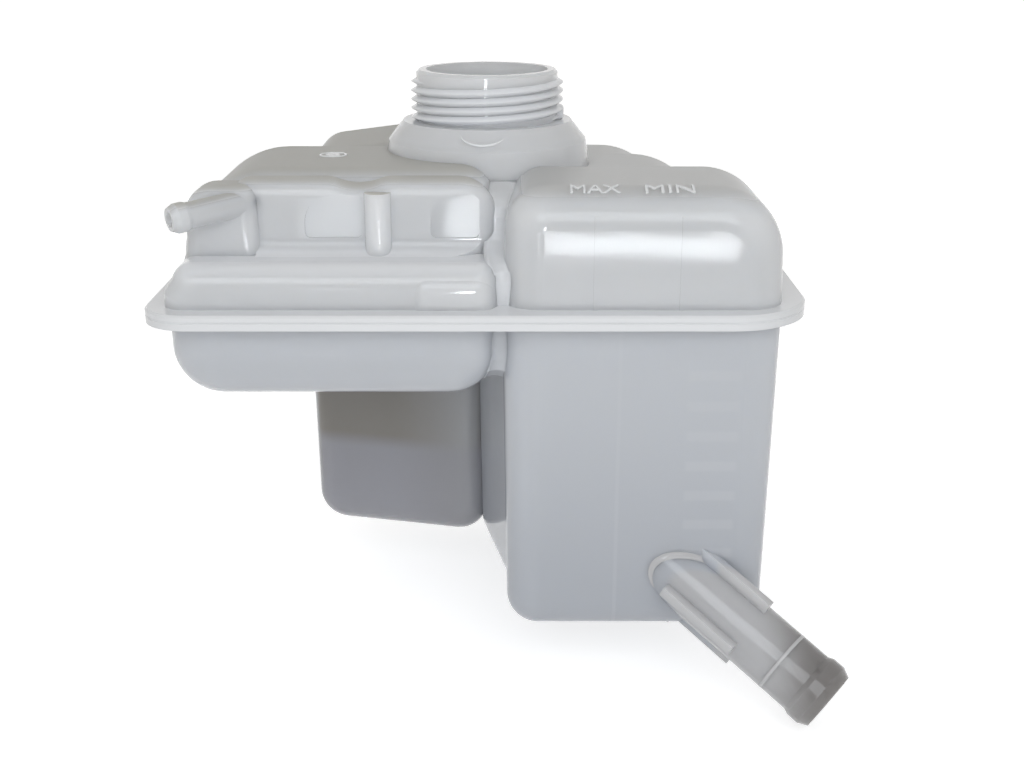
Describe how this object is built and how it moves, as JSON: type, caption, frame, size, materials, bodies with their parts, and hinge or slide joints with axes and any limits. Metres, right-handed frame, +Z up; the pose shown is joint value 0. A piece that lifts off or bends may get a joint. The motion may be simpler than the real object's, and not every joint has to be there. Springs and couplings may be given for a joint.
{
  "type": "coolant expansion tank",
  "caption": "Translucent moulded coolant expansion tank: two welded half shells with a threaded filler neck, a vent spigot, a deep chamber and an angled outlet spigot.",
  "frame": {"origin": "centre of the filler neck's rim, on the axis of its bore", "axes": "+Z up out of the filler neck, +X to the right seen from the front with the outlet at the right, +Y to the rear"},
  "size_m": [0.2228, 0.1841, 0.1971],
  "materials": {
    "natural_plastic": "milky natural polypropylene, semi-gloss, slightly translucent"
  },
  "bodies": {
    "root": {"upper_shell": "natural_plastic", "lower_shell": "natural_plastic"}
  },
  "joints": []
}
